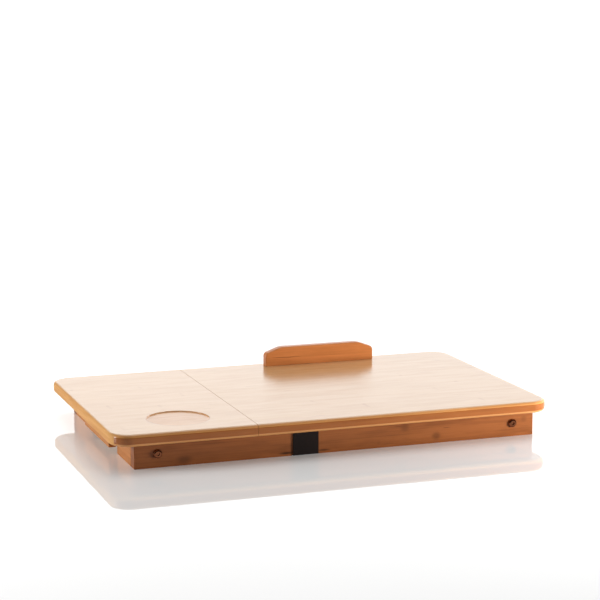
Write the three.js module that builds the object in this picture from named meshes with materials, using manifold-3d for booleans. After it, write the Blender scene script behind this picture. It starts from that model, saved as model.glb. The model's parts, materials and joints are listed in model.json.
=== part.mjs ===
// Folding tray table in bamboo, lying folded flat: a low frame with two folding leg frames, a fixed
// left panel with a cup recess over a side drawer, and a right panel that tilts on a propping frame.
// Millimetres, +Z up. X runs along the table, +Y points to the side where the user sits, and the
// origin is on the floor under the middle of the top.
import * as THREE from 'three';
import { mergeVertices } from 'three/addons/utils/BufferGeometryUtils.js';
import Module from 'manifold-3d';

const wasm = await Module();
wasm.setup();

// The top: one board with rounded edges, sawn into a fixed and a tilting panel
const TOP_LENGTH = 558.4;
const TOP_DEPTH = 337.4;
const TOP_THICKNESS = 14.5;
const TOP_CORNER = 25;
const TOP_ROUND = 4.5;
const SAW_CUT_X = -103.7;
const SAW_CUT_WIDTH = 0.6;
const RECESS = { x: -183, y: -102, radius: 37.5, depth: 1.2, round: 1 };

// The frame under it; JOINT is the space left between pieces that touch
const FRAME_LEFT = -251.3;
const FRAME_RIGHT = 260.7;
const FRAME_DEPTH = 309.4;
const RAIL_HEIGHT = 30;
const BOARD = 15.5;
const JOINT = 0.2;
const UNDERSIDE = RAIL_HEIGHT + JOINT;
const TOP_FACE = UNDERSIDE + TOP_THICKNESS;
const OUTER_Y = FRAME_DEPTH / 2;
const INNER_Y = OUTER_Y - BOARD;
const BETWEEN_Y = INNER_Y - JOINT;
const LEFT_BOARD_INNER = FRAME_LEFT + BOARD;
const RIGHT_BOARD_INNER = FRAME_RIGHT - BOARD;

// Folding legs: two bars and a crossbar each, on bolts through the rails
const PIVOT_INSET = 28.4;
const PIVOT_Z = 17;
const LEG = { reach: 200, width: 22, thickness: 14, footRound: 4, gap: 3.5 };
const CROSSBAR = { start: 165, width: 15, low: 6.5, high: 18 };
const LEFT_PIVOT_X = FRAME_LEFT + PIVOT_INSET;
const RIGHT_PIVOT_X = FRAME_RIGHT - PIVOT_INSET;
const LEG_OUTER_Y = INNER_Y - LEG.gap;
const LEG_INNER_Y = LEG_OUTER_Y - LEG.thickness;
const BOLT = { radius: 3, bore: 3.3, socket: 2.3, socketDepth: 1.6 };
const BOLT_HEAD = { radius: 5.3, height: 2.6, rim: 0.8, flatRadius: 2.9 };
const WASHER_RADIUS = 8;
const NUT = { radius: 5.8, height: 5, bore: 3.2, threadEnd: 1 };

// Webbing strap closed round the front rail
const STRAP = { x: -40, width: 32, thickness: 1.1, corner: 1.4, low: 0.15 };
const STRAP_RELIEF = { spare: 1, top: 1.8, bottom: 1.5 };

// Tilting panel: hinged on the rear rail's outer top edge, so nothing binds as it lifts
const KNUCKLE = 4.3;
const TILT_AXIS_Y = OUTER_Y + KNUCKLE + JOINT;
const TILT_AXIS_Z = UNDERSIDE - KNUCKLE - JOINT;
const HINGE = { xs: [-50, 185], halfLength: 28, centre: 7.5, outer: 17.6, plate: 1.2, bore: 2.1, play: 0.4 };
const HINGE_PIN = { radius: 1.8, headRadius: 2.7, headHeight: 0.8, play: 0.3 };
const HINGE_DROP = 17;
const HINGE_REACH = 6;
const HINGE_HEEL = 3.5;
const LEAF_SCREW = { spacing: 23, radius: 1.3, bore: 1.5, length: 8, point: 1.5, pilot: 8.5 };
const SCREW_HEAD = { radius: 2.4, topRadius: 1.9, height: 0.9 };
const FIXED_SCREW_Z = 15;
const MOVING_SCREW_Y = TILT_AXIS_Y + 1.2;

// Prop frame: pivot and foot both lie on the level of the tilt axis, and its arms are as long as the
// distance from that axis to the pivot, so the foot travels level while the prop turns twice the tilt
const PROP = { length: 135, armWidth: 12, above: 3.8, below: 5, arms: [64, 196], footRadius: 2.5, gap: 1.5 };
const ARM_TOE = { past: 4, chamfer: 3 };
const PROP_PIVOT_Y = TILT_AXIS_Y - PROP.length;
const PROP_FOOT_Y = PROP_PIVOT_Y - PROP.length;
const PROP_ROD = { radius: 2.5, bore: 2.8 };
const BRACKET = { width: 10, halfDepth: 9, low: 20, taper: 4 };
const CENTRE_RAIL = { left: -1, right: 11, low: 4, cutFrom: -118, cutTo: -50 };
const NOTCH_ANGLES = [20, 25, 30, 35];
const FOOT_PLAY = 0.4;
const NOTCH = { tip: TILT_AXIS_Z - PROP.footRadius - FOOT_PLAY, depth: 3.4, wall: 3.3, slope: 5 };
const RACK = { width: 11.8, low: 8, from: -114, to: -50 };

// Removable ledge that stops a book or laptop, plugged into the tilting panel by two dowels
const LEDGE = { x: 88.2, length: 154.6, near: 146, far: 158, height: 24.9 };
const LEDGE_SHOULDER = { endHeight: 17, slope: 22, round: 4 };
const LEDGE_Y = (LEDGE.near + LEDGE.far) / 2;
const LEDGE_BASE = TOP_FACE + 0.1;
const DOWEL = { radius: 4, bore: 4.2, spacing: 50, low: 33, high: 53, spare: 0.5 };

// Side drawer with an overlay front, on two L-section runners
const DRAWER_Y = -11.5;
const DRAWER_FRONT = { outer: -261.3, inner: -251.6, half: 61.4, low: 7.6, high: 29.8 };
const DRAWER_BOX = { front: -251.4, back: -121, half: 58.5, wall: 7, low: 8, high: 27 };
const DRAWER_FLOOR = { low: 9, high: 12 };
const OPENING_HALF = 63;
const RUNNER = { wall: 7.2, clearance: 0.8, lip: 7.5, low: 3, lipTop: 7.7, high: 29.9 };
const RUNNER_RUN = { from: -235.6, to: -116 };
const DRAWER_STOP = { from: -222, to: -214, half: 12, low: 23.5 };
const BATTEN = { from: -114, to: -99, half: 118, low: 14 };

const ROUND_STEPS = 6;
const TURN_STEPS = 16;
const CUTTER_SPARE = 1;

const bambooTop = new THREE.MeshStandardMaterial({ color: 0xe9c79b, roughness: 0.25, metalness: 0 });
const bambooFrame = new THREE.MeshStandardMaterial({ color: 0xc08a52, roughness: 0.4, metalness: 0 });
const bambooPly = new THREE.MeshStandardMaterial({ color: 0xd9b583, roughness: 0.6, metalness: 0 });
const bronzedSteel = new THREE.MeshStandardMaterial({ color: 0x5b4231, roughness: 0.3, metalness: 1 });
const zincSteel = new THREE.MeshStandardMaterial({ color: 0xa9a9a6, roughness: 0.35, metalness: 1 });
const brass = new THREE.MeshStandardMaterial({ color: 0xb08d4a, roughness: 0.3, metalness: 1 });
const webbing = new THREE.MeshStandardMaterial({ color: 0x221c1a, roughness: 0.9, metalness: 0 });

// Solids: closed geometry to a manifold and back, so that pieces can be cut and joined

function solid(geometry) {
  const bare = geometry.clone();
  bare.deleteAttribute('normal');
  bare.deleteAttribute('uv');
  const merged = mergeVertices(bare, 1e-3);
  const corners = merged.index.array;
  const triangles = [];
  for (let start = 0; start < corners.length; start += 3) {
    const [a, b, c] = corners.slice(start, start + 3);
    if (a !== b && b !== c && c !== a) {
      triangles.push(a, b, c);
    }
  }
  return new wasm.Manifold(new wasm.Mesh({
    numProp: 3,
    vertProperties: merged.attributes.position.array,
    triVerts: new Uint32Array(triangles),
  }));
}

function geometryOf(manifold) {
  const mesh = manifold.getMesh();
  const geometry = new THREE.BufferGeometry();
  geometry.setAttribute('position', new THREE.BufferAttribute(mesh.vertProperties, 3));
  geometry.setIndex(new THREE.BufferAttribute(mesh.triVerts, 1));
  geometry.computeVertexNormals();
  return geometry;
}

function cutBy(geometry, tools) {
  return geometryOf(tools.reduce((left, tool) => left.subtract(solid(tool)), solid(geometry)));
}

// Shapes: a block between limits, profiles drawn in two axes and extruded along the third, turned pins

function block([x0, x1], [y0, y1], [z0, z1]) {
  const geometry = new THREE.BoxGeometry(x1 - x0, y1 - y0, z1 - z0);
  return geometry.translate((x0 + x1) / 2, (y0 + y1) / 2, (z0 + z1) / 2);
}

function extrude(shape, depth) {
  return new THREE.ExtrudeGeometry(shape, { depth, bevelEnabled: false, curveSegments: ROUND_STEPS });
}

// A profile in (x, z), running from y0 to y1
function alongY(shape, y0, y1) {
  return extrude(shape, y1 - y0).rotateX(Math.PI / 2).translate(0, y1, 0);
}

// A profile in (y, z), running from x0 to x1
function alongX(shape, x0, x1) {
  const geometry = extrude(shape, x1 - x0);
  geometry.applyMatrix4(new THREE.Matrix4().makeBasis(
    new THREE.Vector3(0, 1, 0),
    new THREE.Vector3(0, 0, 1),
    new THREE.Vector3(1, 0, 0),
  ));
  return geometry.translate(x0, 0, 0);
}

function pinAlongX(radius, x0, x1, y, z) {
  const geometry = new THREE.CylinderGeometry(radius, radius, x1 - x0, TURN_STEPS);
  return geometry.rotateZ(Math.PI / 2).translate((x0 + x1) / 2, y, z);
}

function pinAlongY(radius, y0, y1, x, z) {
  return new THREE.CylinderGeometry(radius, radius, y1 - y0, TURN_STEPS).translate(x, (y0 + y1) / 2, z);
}

function pinAlongZ(radius, z0, z1, x, y) {
  const geometry = new THREE.CylinderGeometry(radius, radius, z1 - z0, TURN_STEPS);
  return geometry.rotateX(Math.PI / 2).translate(x, y, (z0 + z1) / 2);
}

function polygon(points) {
  return new THREE.Shape(points.map(([u, v]) => new THREE.Vector2(u, v)));
}

function roundHole(x, y, radius) {
  const hole = new THREE.Path();
  hole.absarc(x, y, radius, 0, 2 * Math.PI, true);
  return hole;
}

function roundedRectangle(path, x0, x1, y0, y1, radius) {
  path.absarc(x1 - radius, y0 + radius, radius, -Math.PI / 2, 0, false);
  path.absarc(x1 - radius, y1 - radius, radius, 0, Math.PI / 2, false);
  path.absarc(x0 + radius, y1 - radius, radius, Math.PI / 2, Math.PI, false);
  path.absarc(x0 + radius, y0 + radius, radius, Math.PI, 1.5 * Math.PI, false);
  path.closePath();
  return path;
}

// Assembly: each sub-assembly is a group, each piece a named mesh

const tray = new THREE.Group();

function subAssembly(x = 0, y = 0, z = 0) {
  const group = new THREE.Group();
  group.position.set(x, y, z);
  tray.add(group);
  return group;
}

function addPiece(group, name, geometry, material) {
  const mesh = new THREE.Mesh(geometry, material);
  mesh.name = name;
  group.add(mesh);
  return mesh;
}

// Top board, rounded at the corners and over both edges

function topBoard() {
  const outline = roundedRectangle(new THREE.Shape(), -TOP_LENGTH / 2, TOP_LENGTH / 2,
    -TOP_DEPTH / 2, TOP_DEPTH / 2, TOP_CORNER);
  const geometry = new THREE.ExtrudeGeometry(outline, {
    depth: TOP_THICKNESS - 2 * TOP_ROUND,
    bevelSize: TOP_ROUND,
    bevelThickness: TOP_ROUND,
    bevelOffset: -TOP_ROUND,
    bevelSegments: 4,
    curveSegments: 4,
  });
  return geometry.translate(0, 0, UNDERSIDE + TOP_ROUND);
}

// The hollow for a cup: a shallow turned disc with a rounded foot
function recessCutter() {
  const floor = TOP_FACE - RECESS.depth;
  const profile = new THREE.Path();
  profile.moveTo(0, floor);
  profile.lineTo(RECESS.radius - RECESS.round, floor);
  profile.absarc(RECESS.radius - RECESS.round, floor + RECESS.round, RECESS.round, -Math.PI / 2, 0, false);
  profile.lineTo(RECESS.radius, TOP_FACE + CUTTER_SPARE);
  profile.lineTo(0, TOP_FACE + CUTTER_SPARE);
  const points = profile.getPoints(3);
  const geometry = new THREE.LatheGeometry(points, 2 * TURN_STEPS);
  return geometry.rotateX(Math.PI / 2).translate(RECESS.x, RECESS.y, 0);
}

function panelPiece(x0, x1) {
  const span = block([x0, x1], [-TOP_DEPTH, TOP_DEPTH], [0, 2 * TOP_FACE]);
  return geometryOf(solid(topBoard()).intersect(solid(span)));
}

function ledgeXs() {
  return [LEDGE.x - DOWEL.spacing, LEDGE.x + DOWEL.spacing];
}

function leafScrewXs(hingeX) {
  return [hingeX - LEAF_SCREW.spacing, hingeX + LEAF_SCREW.spacing];
}

function fixedPanel() {
  return cutBy(panelPiece(-TOP_LENGTH, SAW_CUT_X - SAW_CUT_WIDTH / 2), [recessCutter()]);
}

function tiltPanel() {
  const dowelHoles = ledgeXs().map((x) => (
    pinAlongZ(DOWEL.bore, DOWEL.low - DOWEL.spare, TOP_FACE + CUTTER_SPARE, x, LEDGE_Y)
  ));
  const pilotEnd = UNDERSIDE - HINGE.plate + LEAF_SCREW.pilot;
  const screwHoles = HINGE.xs.flatMap(leafScrewXs).map((x) => (
    pinAlongZ(LEAF_SCREW.bore, UNDERSIDE - CUTTER_SPARE, pilotEnd, x, MOVING_SCREW_Y)
  ));
  return cutBy(panelPiece(SAW_CUT_X + SAW_CUT_WIDTH / 2, TOP_LENGTH), [...dowelHoles, ...screwHoles]);
}

// Rails: long boards with the leg bolts' bores; the front one has shallow reliefs for the strap

function legBoltHoles() {
  return [LEFT_PIVOT_X, RIGHT_PIVOT_X].map((x) => roundHole(x, PIVOT_Z, BOLT.bore));
}

function frontRail() {
  const left = STRAP.x - STRAP.width / 2 - STRAP_RELIEF.spare;
  const right = STRAP.x + STRAP.width / 2 + STRAP_RELIEF.spare;
  const outline = polygon([
    [FRAME_LEFT, 0],
    [left, 0],
    [left, STRAP_RELIEF.bottom],
    [right, STRAP_RELIEF.bottom],
    [right, 0],
    [FRAME_RIGHT, 0],
    [FRAME_RIGHT, RAIL_HEIGHT],
    [right, RAIL_HEIGHT],
    [right, RAIL_HEIGHT - STRAP_RELIEF.top],
    [left, RAIL_HEIGHT - STRAP_RELIEF.top],
    [left, RAIL_HEIGHT],
    [FRAME_LEFT, RAIL_HEIGHT],
  ]);
  outline.holes.push(...legBoltHoles());
  return alongY(outline, -OUTER_Y, -INNER_Y);
}

function rearRail() {
  const outline = polygon([
    [FRAME_LEFT, 0],
    [FRAME_RIGHT, 0],
    [FRAME_RIGHT, RAIL_HEIGHT],
    [FRAME_LEFT, RAIL_HEIGHT],
  ]);
  outline.holes.push(...legBoltHoles());
  const pilotEnd = OUTER_Y + HINGE.plate - LEAF_SCREW.pilot;
  const screwHoles = HINGE.xs.flatMap(leafScrewXs).map((x) => (
    pinAlongY(LEAF_SCREW.bore, pilotEnd, OUTER_Y + CUTTER_SPARE, x, FIXED_SCREW_Z)
  ));
  return cutBy(alongY(outline, INNER_Y, OUTER_Y), screwHoles);
}

// Where the prop's foot stands at each setting, and the notches under those places

function footY(angle) {
  return TILT_AXIS_Y - 2 * PROP.length * Math.cos(THREE.MathUtils.degToRad(angle));
}

function notchPoints() {
  return NOTCH_ANGLES.flatMap((angle) => {
    const y = footY(angle);
    return [
      [y - NOTCH.wall, NOTCH.tip],
      [y - NOTCH.wall, NOTCH.tip - NOTCH.depth],
      [y, NOTCH.tip - NOTCH.depth],
      [y + NOTCH.slope, NOTCH.tip],
    ];
  });
}

function centreRail() {
  const outline = polygon([
    [-BETWEEN_Y, RAIL_HEIGHT],
    [-BETWEEN_Y, CENTRE_RAIL.low],
    [BETWEEN_Y, CENTRE_RAIL.low],
    [BETWEEN_Y, RAIL_HEIGHT],
    [CENTRE_RAIL.cutTo, RAIL_HEIGHT],
    [CENTRE_RAIL.cutTo, NOTCH.tip],
    ...notchPoints().reverse(),
    [CENTRE_RAIL.cutFrom, NOTCH.tip],
    [CENTRE_RAIL.cutFrom, RAIL_HEIGHT],
  ]);
  return alongX(outline, CENTRE_RAIL.left, CENTRE_RAIL.right);
}

function rackStrip() {
  const outline = polygon([
    [RACK.from, NOTCH.tip],
    [RACK.from, RACK.low],
    [RACK.to, RACK.low],
    [RACK.to, NOTCH.tip],
    ...notchPoints().reverse(),
  ]);
  const right = RIGHT_BOARD_INNER - JOINT;
  return alongX(outline, right - RACK.width, right);
}

function strapLoop() {
  const x0 = STRAP.x - STRAP.width / 2;
  const front = -OUTER_Y - JOINT - STRAP.thickness;
  const back = -INNER_Y + JOINT + STRAP.thickness;
  const high = RAIL_HEIGHT - STRAP_RELIEF.top + JOINT + STRAP.thickness;
  const inset = STRAP.thickness;
  const outline = roundedRectangle(new THREE.Shape(), front, back, STRAP.low, high, STRAP.corner);
  outline.holes.push(roundedRectangle(new THREE.Path(), front + inset, back - inset,
    STRAP.low + inset, high - inset, STRAP.corner - inset));
  return alongX(outline, x0, x0 + STRAP.width);
}

const base = subAssembly();
addPiece(base, 'front_rail', frontRail(), bambooFrame);
addPiece(base, 'rear_rail', rearRail(), bambooFrame);
addPiece(base, 'left_board_front', block([FRAME_LEFT, LEFT_BOARD_INNER],
  [-BETWEEN_Y, DRAWER_Y - OPENING_HALF], [0, RAIL_HEIGHT]), bambooFrame);
addPiece(base, 'left_board_rear', block([FRAME_LEFT, LEFT_BOARD_INNER],
  [DRAWER_Y + OPENING_HALF, BETWEEN_Y], [0, RAIL_HEIGHT]), bambooFrame);
addPiece(base, 'right_board', block([RIGHT_BOARD_INNER, FRAME_RIGHT],
  [-BETWEEN_Y, BETWEEN_Y], [0, RAIL_HEIGHT]), bambooFrame);
addPiece(base, 'centre_rail', centreRail(), bambooFrame);
addPiece(base, 'rack_strip', rackStrip(), bambooFrame);
addPiece(base, 'fixed_panel', fixedPanel(), bambooTop);
addPiece(base, 'panel_batten', block([BATTEN.from, BATTEN.to], [-BATTEN.half, BATTEN.half],
  [BATTEN.low, RAIL_HEIGHT]), bambooFrame);
addPiece(base, 'strap', strapLoop(), webbing);

// Leg bolts: a low domed head with a hex socket outside the rail, a washer between rail and leg bar,
// and a nut inside the bar. Drawn for the rear side and turned about for the front.

function boltGeometry() {
  const head = OUTER_Y + JOINT;
  const crown = head + BOLT_HEAD.height;
  const end = LEG_INNER_Y - JOINT - NUT.height - NUT.threadEnd;
  const profile = new THREE.Path();
  profile.moveTo(0, end);
  profile.lineTo(BOLT.radius, end);
  profile.lineTo(BOLT.radius, head);
  profile.lineTo(BOLT_HEAD.radius, head);
  profile.lineTo(BOLT_HEAD.radius, head + BOLT_HEAD.rim);
  profile.quadraticCurveTo(BOLT_HEAD.radius, crown, BOLT_HEAD.flatRadius, crown);
  profile.lineTo(0, crown);
  const turned = new THREE.LatheGeometry(profile.getPoints(4), TURN_STEPS);
  const socket = new THREE.CylinderGeometry(BOLT.socket, BOLT.socket, 2 * BOLT.socketDepth, 6);
  return cutBy(turned, [socket.translate(0, crown, 0)]);
}

function nutGeometry() {
  const outline = new THREE.Shape();
  outline.setFromPoints(Array.from({ length: 6 }, (_, corner) => (
    new THREE.Vector2(
      NUT.radius * Math.cos((corner * Math.PI) / 3),
      NUT.radius * Math.sin((corner * Math.PI) / 3),
    )
  )));
  outline.holes.push(roundHole(0, 0, NUT.bore));
  return alongY(outline, LEG_INNER_Y - JOINT - NUT.height, LEG_INNER_Y - JOINT);
}

function washerGeometry() {
  const outline = new THREE.Shape();
  outline.absarc(0, 0, WASHER_RADIUS, 0, 2 * Math.PI, false);
  outline.holes.push(roundHole(0, 0, BOLT.bore));
  return alongY(outline, LEG_OUTER_Y + JOINT, INNER_Y - JOINT);
}

for (const [end, pivotX] of [['left', LEFT_PIVOT_X], ['right', RIGHT_PIVOT_X]]) {
  for (const [side, turn] of [['front', Math.PI], ['rear', 0]]) {
    const pivot = subAssembly(pivotX, 0, PIVOT_Z);
    pivot.rotation.z = turn;
    addPiece(pivot, `pivot_bolt_${end}_${side}`, boltGeometry(), bronzedSteel);
    addPiece(pivot, `pivot_washer_${end}_${side}`, washerGeometry(), zincSteel);
    addPiece(pivot, `pivot_nut_${end}_${side}`, nutGeometry(), zincSteel);
  }
}

// Leg frames: drawn about the pivot with the foot towards +X, and turned about for the right end

function legBar() {
  const half = LEG.width / 2;
  const end = LEG.reach - LEG.footRound;
  const outline = new THREE.Shape();
  outline.absarc(0, 0, half, Math.PI / 2, 1.5 * Math.PI, false);
  outline.absarc(end, LEG.footRound - half, LEG.footRound, -Math.PI / 2, 0, false);
  outline.absarc(end, half - LEG.footRound, LEG.footRound, 0, Math.PI / 2, false);
  outline.closePath();
  outline.holes.push(roundHole(0, 0, BOLT.bore));
  return alongY(outline, LEG_INNER_Y, LEG_OUTER_Y);
}

function crossbar() {
  const half = LEG_INNER_Y - JOINT;
  return block([CROSSBAR.start, CROSSBAR.start + CROSSBAR.width], [-half, half],
    [CROSSBAR.low - PIVOT_Z, CROSSBAR.high - PIVOT_Z]);
}

for (const [end, pivotX, turn] of [['left', LEFT_PIVOT_X, 0], ['right', RIGHT_PIVOT_X, Math.PI]]) {
  const legs = subAssembly(pivotX, 0, PIVOT_Z);
  legs.rotation.z = turn;
  const [nearSide, farSide] = end === 'left' ? ['rear', 'front'] : ['front', 'rear'];
  addPiece(legs, `${end}_leg_${nearSide}`, legBar(), bambooFrame);
  addPiece(legs, `${end}_leg_${farSide}`, legBar().translate(0, -LEG_OUTER_Y - LEG_INNER_Y, 0), bambooFrame);
  addPiece(legs, `${end}_leg_crossbar`, crossbar(), bambooFrame);
}

// Butt hinges: the fixed leaf hangs on the rear rail's outer face, the moving leaf lies under the
// panel's overhang, and both are drawn about the pin

// Knuckles are whole turns about the pin; a room is the space that the other leaf's knuckle turns in
function knuckle(radius, from, to) {
  return solid(pinAlongX(radius, from, to, 0, 0));
}

// A block between two distances from the leaf's middle, on both sides of it
function bothEnds(from, to, ySpan, zSpan) {
  return [-1, 1].map((side) => solid(block(
    [Math.min(side * from, side * to), Math.max(side * from, side * to)],
    ySpan,
    zSpan,
  )));
}

function fixedLeaf() {
  const plate = solid(block([-HINGE.halfLength, HINGE.halfLength],
    [-KNUCKLE, HINGE.plate - KNUCKLE], [-HINGE_DROP, 0]));
  const ends = bothEnds(HINGE.outer + HINGE.play, HINGE.halfLength + CUTTER_SPARE,
    [-2 * KNUCKLE, 2 * KNUCKLE], [-KNUCKLE, 2 * KNUCKLE]);
  const from = HINGE.centre + HINGE.play;
  const room = knuckle(KNUCKLE + HINGE.play, -from, from);
  const bore = knuckle(HINGE.bore, -HINGE.halfLength, HINGE.halfLength);
  const holes = [-1, 1].map((side) => solid(pinAlongY(LEAF_SCREW.bore, -2 * KNUCKLE, 0,
    side * LEAF_SCREW.spacing, FIXED_SCREW_Z - TILT_AXIS_Z)));
  const leaf = [...ends, room].reduce((left, tool) => left.subtract(tool), plate)
    .add(knuckle(KNUCKLE, from, HINGE.outer))
    .add(knuckle(KNUCKLE, -HINGE.outer, -from));
  return geometryOf([bore, ...holes].reduce((left, tool) => left.subtract(tool), leaf));
}

function movingLeaf() {
  const plate = solid(block([-HINGE.halfLength, HINGE.halfLength],
    [-HINGE_HEEL, HINGE_REACH], [KNUCKLE - HINGE.plate, KNUCKLE]));
  const bore = knuckle(HINGE.bore, -HINGE.halfLength, HINGE.halfLength);
  const rooms = bothEnds(HINGE.centre, HINGE.outer + HINGE.play,
    [-2 * KNUCKLE, KNUCKLE + HINGE.play], [-2 * KNUCKLE, 2 * KNUCKLE]);
  const holes = [-1, 1].map((side) => solid(pinAlongZ(LEAF_SCREW.bore, 0, 2 * KNUCKLE,
    side * LEAF_SCREW.spacing, MOVING_SCREW_Y - TILT_AXIS_Y)));
  const leaf = plate.add(knuckle(KNUCKLE, -HINGE.centre, HINGE.centre)).subtract(bore);
  return geometryOf([...rooms, ...holes].reduce((left, tool) => left.subtract(tool), leaf));
}

function turned(profile) {
  return new THREE.LatheGeometry(profile.map(([r, h]) => new THREE.Vector2(r, h)), TURN_STEPS);
}

function hingePin() {
  const half = HINGE.outer + HINGE_PIN.play;
  const end = half + HINGE_PIN.headHeight;
  return turned([
    [0, -end],
    [HINGE_PIN.headRadius, -end],
    [HINGE_PIN.headRadius, -half],
    [HINGE_PIN.radius, -half],
    [HINGE_PIN.radius, half],
    [HINGE_PIN.headRadius, half],
    [HINGE_PIN.headRadius, end],
    [0, end],
  ]).rotateZ(Math.PI / 2);
}

// A small pan-head screw along +Y, its head's seat at the origin and its point inwards
function leafScrew() {
  return turned([
    [0, -LEAF_SCREW.length],
    [LEAF_SCREW.radius, LEAF_SCREW.point - LEAF_SCREW.length],
    [LEAF_SCREW.radius, 0],
    [SCREW_HEAD.radius, 0],
    [SCREW_HEAD.topRadius, SCREW_HEAD.height],
    [0, SCREW_HEAD.height],
  ]);
}

const tilt = subAssembly();
addPiece(tilt, 'tilt_panel', tiltPanel(), bambooTop);

HINGE.xs.forEach((x, index) => {
  const end = ['left', 'right'][index];
  addPiece(base, `hinge_${end}_fixed_leaf`, fixedLeaf(), brass).position.set(x, TILT_AXIS_Y, TILT_AXIS_Z);
  addPiece(base, `hinge_${end}_pin`, hingePin(), brass).position.set(x, TILT_AXIS_Y, TILT_AXIS_Z);
  addPiece(tilt, `hinge_${end}_moving_leaf`, movingLeaf(), brass).position.set(x, TILT_AXIS_Y, TILT_AXIS_Z);
  leafScrewXs(x).forEach((screwX, number) => {
    const railScrew = addPiece(base, `hinge_${end}_rail_screw_${number + 1}`, leafScrew(), zincSteel);
    railScrew.position.set(screwX, OUTER_Y + 2 * JOINT + HINGE.plate, FIXED_SCREW_Z);
    const panelScrew = addPiece(tilt, `hinge_${end}_panel_screw_${number + 1}`, leafScrew(), zincSteel);
    panelScrew.position.set(screwX, MOVING_SCREW_Y, UNDERSIDE - 2 * JOINT - HINGE.plate);
    panelScrew.rotation.x = -Math.PI / 2;
  });
});

// Prop frame: two arms on a rod under the tilting panel, with a foot rod that stands in the notches

function propArm(x) {
  const high = PROP.above;
  const low = -PROP.below;
  const outline = new THREE.Shape();
  const toe = -PROP.length - ARM_TOE.past;
  outline.moveTo(toe, low + ARM_TOE.chamfer);
  outline.lineTo(toe + ARM_TOE.chamfer, low);
  outline.lineTo(high - ARM_TOE.chamfer, low);
  outline.lineTo(high, low + ARM_TOE.chamfer);
  outline.absarc(0, 0, high, 0, Math.PI / 2, false);
  outline.absarc(toe + high, 0, high, Math.PI / 2, Math.PI, false);
  outline.closePath();
  outline.holes.push(roundHole(0, 0, PROP_ROD.bore), roundHole(-PROP.length, 0, PROP.footRadius + JOINT));
  return alongX(outline, x - PROP.armWidth / 2, x + PROP.armWidth / 2);
}

function propBracket(x) {
  const low = BRACKET.low - TILT_AXIS_Z;
  const high = UNDERSIDE - JOINT - TILT_AXIS_Z;
  const outline = polygon([
    [-BRACKET.halfDepth, high],
    [-BRACKET.halfDepth + BRACKET.taper, low],
    [BRACKET.halfDepth - BRACKET.taper, low],
    [BRACKET.halfDepth, high],
  ]);
  outline.holes.push(roundHole(0, 0, PROP_ROD.bore));
  return alongX(outline, x - BRACKET.width / 2, x + BRACKET.width / 2);
}

const prop = subAssembly(0, PROP_PIVOT_Y, TILT_AXIS_Z);
const propMount = subAssembly(0, PROP_PIVOT_Y, TILT_AXIS_Z);
const bracketOffset = (PROP.armWidth + BRACKET.width) / 2 + PROP.gap;
const [leftArmX, rightArmX] = PROP.arms;
const leftBracketX = leftArmX - bracketOffset;
const rightBracketX = rightArmX + bracketOffset;
const footRod = pinAlongX(PROP.footRadius, CENTRE_RAIL.left + 1, RIGHT_BOARD_INNER - 1, -PROP.length, 0);
const pivotRod = pinAlongX(PROP_ROD.radius, leftBracketX - BRACKET.width / 2,
  rightBracketX + BRACKET.width / 2, 0, 0);
addPiece(prop, 'prop_arm_left', propArm(leftArmX), bambooFrame);
addPiece(prop, 'prop_arm_right', propArm(rightArmX), bambooFrame);
addPiece(prop, 'prop_foot_rod', footRod, zincSteel);
addPiece(propMount, 'prop_bracket_left', propBracket(leftBracketX), bambooFrame);
addPiece(propMount, 'prop_bracket_right', propBracket(rightBracketX), bambooFrame);
addPiece(propMount, 'prop_pivot_rod', pivotRod, zincSteel);

// Ledge: a bar with long sloping shoulders, on two dowels

function ledgeBar() {
  const half = LEDGE.length / 2;
  const shoulder = half - LEDGE_SHOULDER.slope;
  const endHeight = LEDGE_SHOULDER.endHeight;
  const round = LEDGE_SHOULDER.round;
  const rise = (round * (LEDGE.height - endHeight)) / LEDGE_SHOULDER.slope;
  const outline = new THREE.Shape();
  outline.moveTo(-half, 0);
  outline.lineTo(half, 0);
  outline.lineTo(half, endHeight - round / 2);
  outline.quadraticCurveTo(half, endHeight, half - round, endHeight + rise);
  outline.lineTo(shoulder + round, LEDGE.height - rise);
  outline.quadraticCurveTo(shoulder, LEDGE.height, shoulder - round, LEDGE.height);
  outline.lineTo(-shoulder + round, LEDGE.height);
  outline.quadraticCurveTo(-shoulder, LEDGE.height, -shoulder - round, LEDGE.height - rise);
  outline.lineTo(-half + round, endHeight + rise);
  outline.quadraticCurveTo(-half, endHeight, -half, endHeight - round / 2);
  outline.closePath();
  const bar = alongY(outline, LEDGE.near, LEDGE.far).translate(LEDGE.x, 0, LEDGE_BASE);
  return cutBy(bar, ledgeXs().map((x) => (
    pinAlongZ(DOWEL.bore, LEDGE_BASE - CUTTER_SPARE, DOWEL.high + DOWEL.spare, x, LEDGE_Y)
  )));
}

const ledge = subAssembly();
addPiece(ledge, 'ledge', ledgeBar(), bambooFrame);
ledgeXs().forEach((x, index) => {
  const dowel = pinAlongZ(DOWEL.radius, DOWEL.low, DOWEL.high, x, LEDGE_Y);
  addPiece(ledge, `ledge_dowel_${['left', 'right'][index]}`, dowel, bambooFrame);
});

// Drawer: overlay front, two sides, a back and a thin floor, running on lipped strips under the panel

function drawerSide(side) {
  const outer = DRAWER_Y + side * DRAWER_BOX.half;
  const inner = outer - side * DRAWER_BOX.wall;
  return block([DRAWER_BOX.front, DRAWER_BOX.back], [Math.min(inner, outer), Math.max(inner, outer)],
    [DRAWER_BOX.low, DRAWER_BOX.high]);
}

function drawerRunner(side) {
  const face = DRAWER_BOX.half + RUNNER.clearance;
  const points = [
    [face - RUNNER.lip, RUNNER.low],
    [face + RUNNER.wall, RUNNER.low],
    [face + RUNNER.wall, RUNNER.high],
    [face, RUNNER.high],
    [face, RUNNER.lipTop],
    [face - RUNNER.lip, RUNNER.lipTop],
  ].map(([offset, z]) => [DRAWER_Y + side * offset, z]);
  return alongX(polygon(points), RUNNER_RUN.from, RUNNER_RUN.to);
}

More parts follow.
